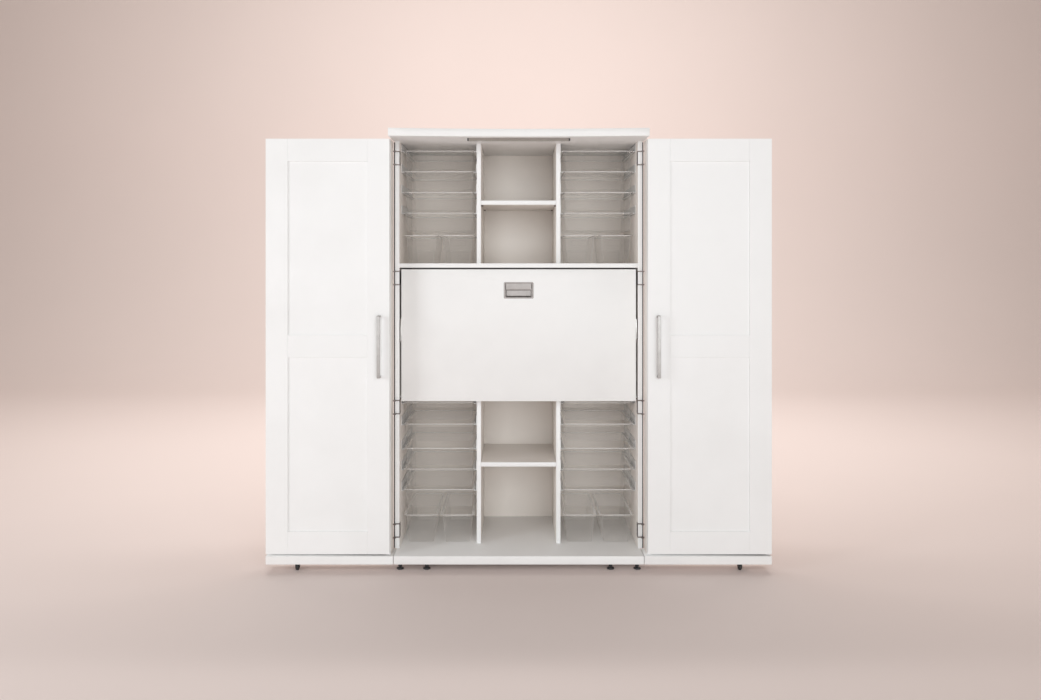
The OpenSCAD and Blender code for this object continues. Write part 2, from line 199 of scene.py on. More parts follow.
def clear_plastic(name):
    """Clear moulded plastic: mostly see-through from the front, milky where the eye skims
     along a wall, and whiter in the thick rim at the top of the mesh, partly from the rim's thicker
     plastic and partly as a painted highlight."""
    material, tree, shader = new_material(name)
    cloud = noise(tree, 20, 3)
    colour = mix_colours(tree, spread(tree, cloud, 0, 1), (0.96, 0.945, 0.925), (0.99, 0.98, 0.965))
    tree.links.new(colour, shader.inputs["Base Color"])
    tree.links.new(spread(tree, cloud, 0.12, 0.2), shader.inputs["Roughness"])
    add_bump(tree, shader, noise(tree, 55, 2, (1, 0.4, 1)), 0.1, 0.2 * MM)
    through = tree.nodes.new("ShaderNodeBsdfTransparent")
    through.inputs["Color"].default_value = (0.999, 0.997, 0.995, 1)
    slant = tree.nodes.new("ShaderNodeLayerWeight")
    slant.inputs["Blend"].default_value = 0.35
    mixer = tree.nodes.new("ShaderNodeMixShader")
    output = next(n for n in tree.nodes if n.type == "OUTPUT_MATERIAL")
    coords = tree.nodes.new("ShaderNodeTexCoord")
    split = tree.nodes.new("ShaderNodeSeparateXYZ")
    tree.links.new(coords.outputs["Object"], split.inputs["Vector"])
    # More opaque white along the top of the rim: partly the thicker plastic, partly a painted highlight
    # line
    rim = spread(tree, split.outputs["Z"], 0, 0.4, -3.4 * MM, -2.4 * MM)
    share = math_node(tree, "ADD", spread(tree, slant.outputs["Facing"], 0.015, 0.22, 0, 1), rim)
    tree.links.new(share, mixer.inputs["Fac"])
    tree.links.new(through.outputs["BSDF"], mixer.inputs[1])
    tree.links.new(shader.outputs["BSDF"], mixer.inputs[2])
    tree.links.new(mixer.outputs["Shader"], output.inputs["Surface"])
    return material


def moulded_plastic(name, colour, rough=0.42, translucent=0.0):
    material, tree, shader = new_material(name)
    cloud = noise(tree, 30, 3)
    dark = tuple(0.93 * c for c in colour)
    colour = mix_colours(tree, spread(tree, cloud, 0, 1), dark, colour)
    tree.links.new(colour, shader.inputs["Base Color"])
    tree.links.new(spread(tree, cloud, rough - 0.06, rough + 0.06), shader.inputs["Roughness"])
    shader.inputs["Transmission Weight"].default_value = translucent
    add_bump(tree, shader, noise(tree, 500, 2), 0.15, 0.08 * MM)
    return material


def stage_material(name, colour):
    material, tree, shader = new_material(name)
    cloud = noise(tree, 0.7, 2)
    dark = tuple(0.985 * c for c in colour)
    colour = mix_colours(tree, spread(tree, cloud, 0, 1), dark, colour)
    tree.links.new(colour, shader.inputs["Base Color"])
    shader.inputs["Roughness"].default_value = 0.9
    return material


DOOR_WHITE = lacquer("door_white")
NICKEL = brushed_metal("satin_nickel", (0.50, 0.48, 0.465), (2600, 2600, 30), (0.42, 0.55))
NICKEL_ACROSS = brushed_metal("satin_nickel_across", (0.38, 0.35, 0.335), (30, 2600, 2600), (0.42, 0.55))
HINGE_STEEL = brushed_metal("hinge_steel", (0.20, 0.17, 0.16), (1400, 1400, 1400), (0.3, 0.46))
CLEAR = clear_plastic("clear_tote_plastic")
RAIL = moulded_plastic("rail_plastic", (0.88, 0.88, 0.87), 0.34, 0.25)
LAMP_BODY = moulded_plastic("lamp_grey", (0.28, 0.245, 0.215), 0.45)
LAMP_LENS = moulded_plastic("lamp_lens", (0.86, 0.85, 0.83), 0.5, 0.3)
BLACK = moulded_plastic("black_fitting", (0.045, 0.045, 0.048), 0.5)
RUBBER = moulded_plastic("wheel_rubber", (0.03, 0.03, 0.03), 0.62)
CAP = moulded_plastic("screw_cap_white", (0.82, 0.81, 0.8), 0.4)


# Mesh helpers -------------------------------------------------------------------------

def box(bm, low, high):
    """Adds a closed box between two corners, in any order."""
    low, high = Vector(low), Vector(high)
    middle, size = (low + high) / 2, high - low
    scale = Matrix.Diagonal((abs(size.x), abs(size.y), abs(size.z), 1))
    bmesh.ops.create_cube(bm, size=1, matrix=Matrix.Translation(middle) @ scale)


def loft(bm, rings):
    """Adds a closed skin through rings of equally many points, capped at both ends."""
    loops = [[bm.verts.new(point) for point in ring] for ring in rings]
    for lower, upper in zip(loops, loops[1:]):
        count = len(lower)
        for i in range(count):
            j = (i + 1) % count
            bm.faces.new((lower[i], lower[j], upper[j], upper[i]))
    bm.faces.new(reversed(loops[0]))
    bm.faces.new(loops[-1])


def prism(bm, outline, along):
    """Adds a closed prism: the outline's points swept along a vector."""
    along = Vector(along)
    loft(bm, [[Vector(p) for p in outline], [Vector(p) + along for p in outline]])


def lathe(bm, profile, matrix=Matrix.Identity(4), steps=32):
    """Adds a closed solid of revolution round Z through (radius, height) points."""
    turns = [2 * math.pi * i / steps for i in range(steps)]
    loft(bm, [[matrix @ Vector((r * math.cos(a), r * math.sin(a), z)) for a in turns]
              for r, z in profile])


def rounded_outline(half_x, half_y, radius, steps=4):
    """Points of a rounded rectangle, anticlockwise from its right side."""
    points = []
    for turn, (sx, sy) in enumerate(((1, 1), (-1, 1), (-1, -1), (1, -1))):
        cx, cy = sx * (half_x - radius), sy * (half_y - radius)
        for i in range(steps + 1):
            angle = math.pi / 2 * (turn + i / steps)
            points.append((cx + radius * math.cos(angle), cy + radius * math.sin(angle)))
    return points


def facing(direction, place):
    """A matrix that turns +Z to a direction, at a place."""
    turn = Vector(direction).to_track_quat("Z", "Y").to_matrix().to_4x4()
    return Matrix.Translation(place) @ turn


def screw(bm, place, direction, radius=3.4 * MM, proud=1.1 * MM):
    """Adds a domed screw head with a cross recess, standing on a face."""
    def ring(size, height, cross):
        points = []
        for i in range(32):
            angle = 2 * math.pi * i / 32
            pinch = 1 - cross * 0.62 * abs(math.sin(2 * angle)) ** 0.6
            points.append(matrix @ Vector((size * pinch * math.cos(angle),
                                           size * pinch * math.sin(angle), height)))
        return points
    matrix = facing(direction, place)
    loft(bm, [ring(radius, -0.3 * MM, 0), ring(radius, 0.25 * proud, 0),
              ring(0.86 * radius, 0.7 * proud, 0), ring(0.66 * radius, proud, 0),
              ring(0.52 * radius, proud, 1), ring(0.44 * radius, 0.2 * proud, 1)])


def cut(bm, cutters):
    """The mesh with the closed shells of a second one taken out of it."""
    objects = []
    for name, shape in (("cut_body", bm), ("cut_tools", cutters)):
        bmesh.ops.recalc_face_normals(shape, faces=shape.faces)
        mesh = bpy.data.meshes.new(name)
        shape.to_mesh(mesh)
        shape.free()
        objects.append(bpy.data.objects.new(name, mesh))
        bpy.context.scene.collection.objects.link(objects[-1])
    modifier = objects[0].modifiers.new("cut", "BOOLEAN")
    modifier.operation = "DIFFERENCE"
    modifier.solver = "EXACT"
    modifier.object = objects[1]
    bpy.context.view_layer.update()
    result = bmesh.new()
    result.from_mesh(objects[0].evaluated_get(bpy.context.evaluated_depsgraph_get()).data)
    for obj in objects:
        mesh = obj.data
        bpy.data.objects.remove(obj)
        bpy.data.meshes.remove(mesh)
    return result


def piece(name, bm, material, body, mirror=False, bevel=None, replaces=(), smooth=35,
          segments=2):
    """Turns the mesh into an object that rides on a body."""
    if mirror:
        bmesh.ops.scale(bm, vec=(-1, 1, 1), verts=bm.verts)
    bmesh.ops.recalc_face_normals(bm, faces=bm.faces)
    mesh = bpy.data.meshes.new(name)
    bm.to_mesh(mesh)
    bm.free()
    return shown(name, mesh, material, body, bevel, replaces, smooth, segments)


def shown(name, mesh, material, body, bevel=None, replaces=(), smooth=35, segments=2,
          place=(0, 0, 0)):
    obj = bpy.data.objects.new(name, mesh)
    bpy.context.scene.collection.objects.link(obj)
    obj.location = place
    if not mesh.materials:
        mesh.materials.append(material)
    for polygon in mesh.polygons:
        polygon.use_smooth = True
    mesh.set_sharp_from_angle(angle=math.radians(smooth))
    if bevel:
        soften(obj, bevel, segments)
    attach(obj, body)
    if replaces:
        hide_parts(*replaces)
    return obj


def soften(obj, width, segments=2):
    """Rounds the sharp edges and evens the shading of the flat faces."""
    modifier = obj.modifiers.new("rounded_edges", "BEVEL")
    modifier.width = width
    modifier.segments = segments
    modifier.limit_method = "ANGLE"
    modifier.angle_limit = math.radians(40)
    modifier.harden_normals = True


# Boards -------------------------------------------------------------------------------

def dress_board(node, material, bevel=0.8 * MM):
    """Gives a CAD board its laminate and rounded edges."""
    obj = frame["nodes"][node]
    obj.data.materials.clear()
    obj.data.materials.append(material)
    weld = obj.modifiers.new("weld", "WELD")
    weld.merge_threshold = 0.01 * MM
    soften(obj, bevel)
    for polygon in obj.data.polygons:
        polygon.use_smooth = True


def dress_boards():
    plain = laminate("laminate_white")
    # A warmer, darker copy of the white laminate: painted shade for the boards in and between the bays;
    # their front edges keep the plain white
    bay_painted_shade = (0.89, 0.835, 0.785)
    fronts = {"side": panel_low.y, "divider": divider_low.y, "wing": wing_low.y}
    painted_shade_banded = {key: laminate(f"laminate_{key}", bay_painted_shade, y) for key, y in fronts.items()}
    for node in ("base_board", "top_board", "table_panel", "work_shelf", "left_wing_base",
                 "right_wing_base"):
        dress_board(node, plain)
    # The back panel's still warmer, darker tone is painted shade for the back of the bays
    dress_board("back_panel", laminate("laminate_back", (0.88, 0.815, 0.755)))
    for node in ("left_side_panel", "right_side_panel", "fixed_shelf"):
        dress_board(node, painted_shade_banded["side"])
    for node in ("dividers", "centre_shelves"):
        dress_board(node, painted_shade_banded["divider"])
    for node in ("left_wing_boards", "right_wing_boards"):
        dress_board(node, painted_shade_banded["wing"])


def dress_metal():
    for node in ("table_pivot_pins", "stay_studs", "wing_hinge_pins", "shelf_pins",
                 "left_door_pivots", "right_door_pivots"):
        dress_board(node, HINGE_STEEL, 0.2 * MM)
    stay_steel = brushed_metal("stay_steel", (0.6, 0.58, 0.56), (900, 900, 900))
    dress_board("quadrant_stays", stay_steel, 0.4 * MM)


# Doors --------------------------------------------------------------------------------

def build_door(side, sign):
    """A shaker door: two stiles, three rails and two sunk panels, with a fine joint line
    where the rails meet the stiles, and slots in the outer stile for the pivots' tongues."""
    stile = 94 * MM
    rail = 96 * MM
    sink = 6 * MM
    joint_line = 0.12 * MM
    chamfer = 3 * MM
    low, high = door_low, door_high
    front, back = low.y, high.y
    middle = (low.z + high.z) / 2
    inner, outer = low.x + stile, high.x - stile
    bm = bmesh.new()
    box(bm, (low.x, front, low.z), (inner, back, high.z))
    corner = [(outer, front), (high.x, front), (high.x, back - chamfer), (high.x - chamfer, back),
              (outer, back)]
    prism(bm, [(x, y, low.z) for x, y in corner], (0, 0, high.z - low.z))
    pivot = joint("right_door_swing")["pos_m"]
    pivots = 4
    pivot_end = 120 * MM
    slot_inward, slot_deep, slot_half = 4.5 * MM, 6.5 * MM, 1.3 * MM
    past = 1 * MM
    slots = bmesh.new()
    for step in range(pivots):
        z = low.z + pivot_end + step * (high.z - low.z - 2 * pivot_end) / (pivots - 1)
        box(slots, (pivot[0] - slot_inward, pivot[1] - slot_deep, z - slot_half),
            (high.x + past, back + past, z + slot_half))
    piece(f"{side}_door_stiles", cut(bm, slots), DOOR_WHITE, f"{side}_door",
          sign < 0, bevel=0.5 * MM, replaces=[f"{side}_wing_door"])
    bm = bmesh.new()
    rails = ((low.z, low.z + rail), (middle - rail / 2, middle + rail / 2), (high.z - rail, high.z))
    for bottom, top in rails:
        box(bm, (inner + joint_line, front + 0.05 * MM, bottom), (outer - joint_line, back, top))
    piece(f"{side}_door_rails", bm, DOOR_WHITE, f"{side}_door", sign < 0, bevel=0.5 * MM)
    bm = bmesh.new()
    tongue = 8 * MM
    for bottom, top in ((rails[0][1], rails[1][0]), (rails[1][1], rails[2][0])):
        box(bm, (inner - tongue, front + sink, bottom - tongue),
            (outer + tongue, back - 4 * MM, top + tongue))
    piece(f"{side}_door_panels", bm, DOOR_WHITE, f"{side}_door", sign < 0)


def build_handle(side, sign):
    """A square bar bent back to the door at both ends, in brushed nickel."""
    low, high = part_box("right_door_handle")
    thick = 8 * MM
    outside, inside = 3.5 * MM, 1.5 * MM

    def corner(y, z, r, a0):
        return [(y + r * math.cos(a), z + r * math.sin(a))
                for a in (math.radians(a0 + 90 * i / 5) for i in range(6))]
    back, front = high.y, low.y
    path = [(back, high.z)]
    path += corner(front + outside, high.z - outside, outside, 90)
    path += corner(front + outside, low.z + outside, outside, 180)
    path += [(back, low.z), (back, low.z + thick)]
    path += reversed(corner(front + thick + inside, low.z + thick + inside, inside, 180))
    path += reversed(corner(front + thick + inside, high.z - thick - inside, inside, 90))
    path += [(back, high.z - thick)]
    bm = bmesh.new()
    prism(bm, [(low.x, y, z) for y, z in path], (high.x - low.x, 0, 0))
    piece(f"{side}_bar_handle", bm, NICKEL, f"{side}_door", sign < 0,
          bevel=0.9 * MM, replaces=[f"{side}_door_handle"], smooth=50, segments=3)


# Table --------------------------------------------------------------------------------

def build_cup_pull():
    """A rounded flange round a deep finger recess, with a rolled hood over its top half."""
    low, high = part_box("cup_pull")
    centre = (low + high) / 2
    half_x, half_z = (high.x - low.x) / 2, (high.z - low.z) / 2
    face, back = low.y, high.y
    proud = table_low.y - face
    wall = 1.3 * MM

    def ring(inset, y, radius):
        return [Vector((centre.x + x, y, centre.z + z))
                for x, z in rounded_outline(half_x - inset, half_z - inset, radius, 5)]
    bm = bmesh.new()
    loft(bm, [ring(12 * MM, back, 4 * MM), ring(7 * MM, table_low.y + 0.4 * MM, 4 * MM),
              ring(6 * MM, table_low.y, 4 * MM), ring(0, table_low.y, 5 * MM),
              ring(0, face + 0.5 * proud, 5 * MM), ring(0.6 * MM, face, 4.6 * MM),
              ring(4.4 * MM, face, 3 * MM), ring(5.6 * MM, face + 0.7 * MM, 2.6 * MM),
              ring(12 * MM, back - wall, 2.4 * MM)])
    piece("cup_pull_flange", bm, NICKEL_ACROSS, "table", replaces=["cup_pull"], smooth=30)
    lip = 3.2 * MM
    top = centre.z + half_z - 5 * MM
    edge = centre.z + 1 * MM
    y0 = face + 1.1 * MM
    outline = [(y0, top), (y0, edge + lip)]
    outline += [(y0 + lip - lip * math.cos(a), edge + lip - lip * math.sin(a))
                for a in (math.radians(15 * i) for i in range(1, 7))]
    outline += [(y0 + lip, edge + 1.2 * MM), (y0 + 2 * MM, edge + lip), (y0 + 1.4 * MM, top)]
    bm = bmesh.new()
    width = 2 * (half_x - 8 * MM)
    prism(bm, [(centre.x - width / 2, y, z) for y, z in outline], (width, 0, 0))
    piece("cup_pull_hood", bm, NICKEL_ACROSS, "table", smooth=30)
    bm = bmesh.new()
    for end in (-1, 1):
        x = centre.x + end * (half_x - 9 * MM)
        box(bm, (x - 1.2 * MM, y0, centre.z - half_z + 7 * MM), (x + 1.2 * MM, y0 + 3 * MM, top))
    piece("cup_pull_side_ribs", bm, NICKEL_ACROSS, "table", bevel=0.5 * MM)


# Carcass hardware ---------------------------------------------------------------------

def build_wing_hinges(side, sign):
    """Leaf, two arms, knuckles and screws of each hinge between carcass and wing."""
    arm = 5 * MM
    leaf = 1.2 * MM
    arm_pitch = 58 * MM
    knuckle_h = 15 * MM
    knuckle_r = 4 * MM
    pivot = joint("right_wing_swing")["pos_m"]
    front = panel_low.y - leaf
    leaf_x = panel_low.x - leaf
    bm = bmesh.new()
    for z in hinge_heights():
        height = arm_pitch + arm
        leaf_outline = [(leaf_x, y, zz) for y, zz in leaf_points(front, hinge_high.y, z, height)]
        prism(bm, leaf_outline, (leaf, 0, 0))
        for end in (-1, 1):
            level = z + end * arm_pitch / 2
            box(bm, (leaf_x, front, level - arm / 2), (panel_high.x, panel_low.y, level + arm / 2))
            box(bm, (panel_high.x - 5 * MM, pivot[1] - knuckle_r, level - arm / 2),
                (panel_high.x, panel_low.y - 0.1 * MM, level + arm / 2))
            box(bm, (panel_high.x - 0.1 * MM, pivot[1] - knuckle_r, level - arm / 2),
                (pivot[0], pivot[1] + knuckle_r, level + arm / 2))
            turned = [(0.75 * knuckle_r, -knuckle_h / 2), (knuckle_r, -knuckle_h / 2 + 1 * MM),
                      (knuckle_r, knuckle_h / 2 - 1 * MM), (0.75 * knuckle_r, knuckle_h / 2)]
            lathe(bm, turned, Matrix.Translation((pivot[0], pivot[1], level)), 24)
            screw(bm, (leaf_x, hinge_high.y - 8 * MM, z + end * 20 * MM), (-1, 0, 0))
        screw(bm, (leaf_x, hinge_high.y - 15 * MM, z), (-1, 0, 0))
    piece(f"{side}_wing_hinge_set", bm, HINGE_STEEL, "carcass", sign < 0,
          bevel=0.35 * MM, replaces=["wing_hinges"])


def hinge_heights():
    """Middles of the hinges, read from the groups of points along the hinge pins."""
    levels = sorted({round(v.co.z, 4) for v in frame["nodes"]["wing_hinge_pins"].data.vertices})
    return [(low + high) / 2 for low, high in zip(levels[::2], levels[1::2])]


def leaf_points(front, back, z, height):
    """A leaf with its two rear corners rounded, in Y and Z."""
    r = 6 * MM
    points = [(front, z - height / 2)]
    for centre_z, start in ((z - height / 2 + r, -90), (z + height / 2 - r, 0)):
        for i in range(5):
            angle = math.radians(start + 90 * i / 4)
            points.append((back - r + r * math.cos(angle), centre_z + r * math.sin(angle)))
    points.append((front, z + height / 2))
    return points


def build_light_bar():
    """A slim grey channel with a frosted lens and black end caps."""
    low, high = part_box("light_bar")
    cap = 6 * MM
    bm = bmesh.new()
    wall = 1.5 * MM
    channel = [(low.y, high.z), (low.y, low.z), (low.y + wall, low.z), (low.y + wall, high.z - wall),
               (high.y - wall, high.z - wall), (high.y - wall, low.z), (high.y, low.z), (high.y, high.z)]
    prism(bm, [(low.x + cap, y, z) for y, z in channel], (high.x - low.x - 2 * cap, 0, 0))
    piece("light_bar_channel", bm, LAMP_BODY, "carcass", bevel=0.4 * MM,
          replaces=["light_bar"])
    bm = bmesh.new()
    for x0, x1 in ((low.x, low.x + cap), (high.x - cap, high.x)):
        box(bm, (x0, low.y, low.z), (x1, high.y, high.z))
    piece("light_bar_end_caps", bm, BLACK, "carcass", bevel=1.2 * MM, segments=3)
    bm = bmesh.new()
    middle = (low.y + high.y) / 2
    half = (high.y - low.y) / 2 - wall - 0.2 * MM
    lens = [(middle + half * math.cos(a), low.z + 0.4 * MM + 1.6 * MM * (1 - math.sin(a)))
            for a in (math.pi * i / 10 for i in range(11))]
    lens += [(middle - half, high.z - 2 * wall), (middle + half, high.z - 2 * wall)]
    prism(bm, [(low.x + cap + 0.2 * MM, y, z) for y, z in lens],
          (high.x - low.x - 2 * cap - 0.4 * MM, 0, 0))
    piece("light_bar_lens", bm, LAMP_LENS, "carcass")


def build_foot(x, y, index):
    """A levelling foot: a stepped pad, a ridged stem and a hexagonal lock nut."""
    top = base_low.z
    bm = bmesh.new()
    pad = [(11 * MM, 0), (15 * MM, 0.8 * MM), (16 * MM, 3 * MM), (14.5 * MM, 6 * MM),
           (9 * MM, 7.6 * MM), (6.5 * MM, 8 * MM)]
    lathe(bm, pad, Matrix.Translation((x, y, 0)), 36)
    thread = [(4 * MM, 7.5 * MM)]
    pitch = 1.5 * MM
    turns = int((top - 10 * MM) / pitch)
    for i in range(turns):
        z = 8 * MM + i * pitch
        thread += [(4 * MM, z), (5 * MM, z + pitch / 2)]
    thread.append((4 * MM, top))
    lathe(bm, thread, Matrix.Translation((x, y, 0)), 24)
    lathe(bm, [(8.5 * MM, 12 * MM), (8.5 * MM, 18 * MM)], Matrix.Translation((x, y, 0)), 6)
    piece(f"levelling_foot_{index}", bm, BLACK, "carcass",
          replaces=["levelling_feet"])


def build_feet():
    low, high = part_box("levelling_feet")
    pad = 16 * MM
    xs = (high.x - pad - 115 * MM, high.x - pad)
    ys = (low.y + pad, high.y - pad)
    places = [(sign * x, y) for _, sign in SIDES for x in xs for y in ys]
    for index, (x, y) in enumerate(places, 1):
        build_foot(x, y, index)


def build_caster(side, sign):
    """Mounting plate, folded fork, axle bolt and a wheel with a soft tread."""
    fork_low, fork_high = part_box("right_caster_fork")
    wheel_low, wheel_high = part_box("right_caster_wheel")
    centre = (wheel_low + wheel_high) / 2
    radius = (wheel_high.z - wheel_low.z) / 2
    half = (wheel_high.x - wheel_low.x) / 2
    plate = 2 * MM
    bm = bmesh.new()
    box(bm, (fork_low.x, fork_low.y, fork_high.z - plate), fork_high)
    for end in (-1, 1):
        x = centre.x + end * (half + 1.5 * MM)
        cheek = [(centre.y - 6 * MM, fork_high.z - plate), (centre.y - 5 * MM, centre.z)]
        cheek += [(centre.y + 5 * MM * math.cos(a), centre.z + 5 * MM * math.sin(a))
                  for a in (math.radians(180 + 22.5 * i) for i in range(1, 8))]
        cheek += [(centre.y + 5 * MM, centre.z), (centre.y + 6 * MM, fork_high.z - plate)]
        prism(bm, [(x - 1 * MM, y, z) for y, z in cheek], (2 * MM, 0, 0))
        lathe(bm, [(3 * MM, 0), (3 * MM, 0.6 * MM), (2.2 * MM, 1 * MM)],
              facing((end, 0, 0), (x + end * 1 * MM, centre.y, centre.z)), 18)
        for y in (-12, 12):
            screw(bm, (centre.x + end * 14 * MM, centre.y + y * MM, fork_high.z - plate), (0, 0, -1),
                  2.6 * MM, 0.9 * MM)
    piece(f"{side}_caster_bracket", bm, HINGE_STEEL, f"{side}_wing", sign < 0,
          bevel=0.4 * MM, replaces=[f"{side}_caster_fork"])
    bm = bmesh.new()
    tyre = [(0.55 * radius, -half), (0.82 * radius, -half), (0.94 * radius, -0.8 * half),
            (radius, -0.45 * half), (radius, 0.45 * half), (0.94 * radius, 0.8 * half),
            (0.82 * radius, half), (0.55 * radius, half)]
    lathe(bm, tyre, facing((1, 0, 0), centre), 48)
    piece(f"{side}_caster_tyre", bm, RUBBER, f"{side}_wheel", sign < 0,
          replaces=[f"{side}_caster_wheel"])
    bm = bmesh.new()
    for end in (-1, 1):
        hub = facing((end, 0, 0), (centre.x + end * (half - 0.5 * MM), centre.y, centre.z))
        lathe(bm, [(0.5 * radius, 0), (0.48 * radius, 0.7 * MM), (0.34 * radius, 0.5 * MM)], hub, 30)
        for spoke in range(5):
            angle = 2 * math.pi * spoke / 5
            place = hub @ Vector((0.33 * radius * math.cos(angle), 0.33 * radius * math.sin(angle), 0))
            lathe(bm, [(1.2 * MM, 0.3 * MM), (0.9 * MM, 0.75 * MM)], facing((end, 0, 0), place), 12)
    piece(f"{side}_caster_hub", bm, BLACK, f"{side}_wheel", sign < 0)


# Totes and their rails ----------------------------------------------------------------

def tote_ring(half_x, half_y, radius, z):
    return [Vector((x, y, z)) for x, y in rounded_outline(half_x, half_y, radius, 5)]


def tote_mesh(name, rim_x, body_x, depth, height, label, label_z, stepped):
    """A thin tapered box with a rolled rim, a lip down its front and a framed place for a
    label. Its origin is the middle of its top."""
    wall = 1.8 * MM
    rim = 2.5 * MM
    body_y = depth / 2 - 6 * MM
    taper = 7 * MM
    foot = 2.5 * MM
    step_z = -0.55 * height

    def body(z):
        """How far the outside has come in at a height below the rim."""
        inset = taper * (-z - rim) / (height - rim)
        if stepped and z < step_z:
            inset += 3 * MM
        return inset
    bottom = -height
    levels = [-rim - 0.01 * MM]
    if stepped:
        levels += [step_z + 1 * MM, step_z - 1 * MM]
    levels += [bottom + 3 * foot, bottom + foot]
    outer = [tote_ring(body_x - body(bottom) - 4 * MM, body_y - body(bottom) - 4 * MM, 6 * MM, bottom),
             tote_ring(body_x - body(bottom) - 1 * MM, body_y - body(bottom) - 1 * MM, 7 * MM,
                       bottom + 0.4 * foot)]
    outer += [tote_ring(body_x - body(z), body_y - body(z), 8 * MM, z) for z in reversed(levels)]
    rolled = [tote_ring(rim_x - 1.5 * MM, depth / 2 - 1.5 * MM, 10 * MM, -rim),
              tote_ring(rim_x, depth / 2, 11 * MM, -0.62 * rim),
              tote_ring(rim_x - 0.3 * MM, depth / 2 - 0.3 * MM, 11 * MM, -0.25 * rim),
              tote_ring(rim_x - 1.4 * MM, depth / 2 - 1.4 * MM, 10 * MM, 0),
              tote_ring(body_x + 0.5 * MM, body_y + 0.5 * MM, 8 * MM, 0),
              tote_ring(body_x - wall, body_y - wall, 7 * MM, -1.6 * MM)]
    inner = [tote_ring(body_x - body(z) - wall, body_y - body(z) - wall, 6.5 * MM, z)
             for z in levels[1:]]
    inner += [tote_ring(body_x - body(bottom) - 5 * MM, body_y - body(bottom) - 5 * MM, 5 * MM,
                        bottom + wall)]
    bm = bmesh.new()
    loft(bm, outer + rolled + inner)
    add_label_frame(bm, label, label_z, body_y, body, taper, height)
    lip_half = rim_x - 26 * MM
    lip = [(-depth / 2 + 0.2 * MM, -0.5 * rim), (-depth / 2 + 0.2 * MM, -8.4 * MM),
           (-depth / 2 + 0.8 * MM, -9 * MM), (-depth / 2 + 1.7 * MM, -9 * MM),
           (-depth / 2 + 2.2 * MM, -8.4 * MM), (-depth / 2 + 2.2 * MM, -0.5 * rim)]
    prism(bm, [(-lip_half, y, z) for y, z in lip], (2 * lip_half, 0, 0))
    bmesh.ops.recalc_face_normals(bm, faces=bm.faces)
    mesh = bpy.data.meshes.new(name)
    bm.to_mesh(mesh)
    bm.free()
    return mesh


def add_label_frame(bm, label, label_z, body_y, body, taper, height):
    """A raised border round the label's place on the front wall."""
    width, tall = label
    raised = 1.4 * MM
    tilt = math.atan2(taper, height)
    matrix = Matrix.Translation((0, -body_y + body(label_z), label_z)) @ Matrix.Rotation(-tilt, 4, "X")

    def ring(inset, out):
        return [matrix @ Vector((x, -out, z)) for x, z in
                rounded_outline(width / 2 - inset, tall / 2 - inset, 2.5 * MM, 3)]
    outside = [ring(0, -0.4 * MM), ring(0, 0.6 * raised), ring(0.6 * MM, raised)]
    inside = [ring(1.8 * MM, raised), ring(2.2 * MM, 0.6 * raised), ring(2.2 * MM, -0.4 * MM)]
    loops = [[bm.verts.new(p) for p in r] for r in outside + inside]
    loops.append(loops[0])
    for lower, upper in zip(loops, loops[1:]):
        count = len(lower)
        for i in range(count):
            j = (i + 1) % count
            bm.faces.new((lower[i], lower[j], upper[j], upper[i]))


def build_totes():
    """Wide totes on the rails and pairs of narrow ones standing below them."""
    shapes = {}
    for level in LEVELS:
        for side, _ in SIDES:
            names = [f"{level}_{side}_wide_tote_{row + 1}" for row in range(ROWS[level])]
            names += [f"{level}_{side}_narrow_tote_{place}" for place in PLACES]
            for node in names:
                low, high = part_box(node)
                kind = "wide" if "wide" in node else "narrow"
                if kind not in shapes:
                    shapes[kind] = make_tote_shape(kind, high - low)
                centre = (low + high) / 2
                shown(f"{node}_moulding", shapes[kind], CLEAR, node,
                      replaces=[node], place=(centre.x, centre.y, high.z))


def make_tote_shape(kind, size):
    if kind == "wide":
        return tote_mesh("wide_tote_shape", size.x / 2, size.x / 2 - 11 * MM, size.y, size.z,
                         (118 * MM, 24 * MM), -26 * MM, False)
    return tote_mesh("narrow_tote_shape", size.x / 2, size.x / 2 - 10 * MM, size.y, size.z,
                     (75 * MM, 25 * MM), -36 * MM, True)


def build_rails(side, sign):
    """An angle with a bevelled edge and three screws on each wall of the bay for every wide
    tote."""
    thick = 2 * MM
    foot = 12 * MM
    tall = 38 * MM
    front = divider_low.y + 1 * MM
    back = panel_high.y - 20 * MM
    bm = bmesh.new()
    for level in LEVELS:
        ceiling = top_low.z if level == "upper" else table_low.z
        for row in range(ROWS[level]):
            low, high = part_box(f"{level}_right_wide_tote_{row + 1}")
            base = high.z - 5 * MM
            top = min(base + tall, ceiling - 1 * MM)
            for wall, toward in ((low.x - 6 * MM, 1), (high.x + 6 * MM, -1)):
                face = wall + toward * thick
                tip = wall + toward * foot
                section = [(wall, base), (tip, base), (tip, base + 0.7 * thick),
                           (tip - toward * 0.6 * MM, base + thick),
                           (face + toward * 1.5 * MM, base + thick), (face, base + thick + 1.5 * MM),
                           (face, top - 2 * MM), (face + toward * 1 * MM, top - 1 * MM),
                           (face + toward * 0.6 * MM, top), (wall, top)]
                prism(bm, [(x, front, z) for x, z in section], (0, back - front, 0))
                for share in (0.1, 0.5, 0.9):
                    y = front + share * (back - front)
                    screw(bm, (face, y, (base + top) / 2 + 3 * MM), (toward, 0, 0), 3 * MM, 1 * MM)
    piece(f"{side}_tote_rail_set", bm, RAIL, "carcass", sign < 0,
          replaces=["tote_rails"])


# Small fittings -----------------------------------------------------------------------

def build_shelf_holes():
    """Rows of lined holes for the shelf pins on both walls of the centre bay."""
    radius = 2.6 * MM
    wall = divider_x
    bm = bmesh.new()
    spans = ((shelf_high.z, top_low.z), (base_high.z, table_low.z))
    for _, sign in SIDES:
        for low, high in spans:
            count = int((high - low - 200 * MM) / (32 * MM))
            for y in (divider_low.y + 37 * MM, panel_high.y - 60 * MM):
                for i in range(count):
                    z = low + 110 * MM + i * 32 * MM
                    lathe(bm, [(radius, -0.1 * MM), (radius, 0.25 * MM), (0.7 * radius, 0.25 * MM),
                               (0.6 * radius, 0.05 * MM)],
                          facing((-sign, 0, 0), (sign * wall, y, z)), 14)
    piece("shelf_pin_hole_liners", bm, RAIL, "carcass")


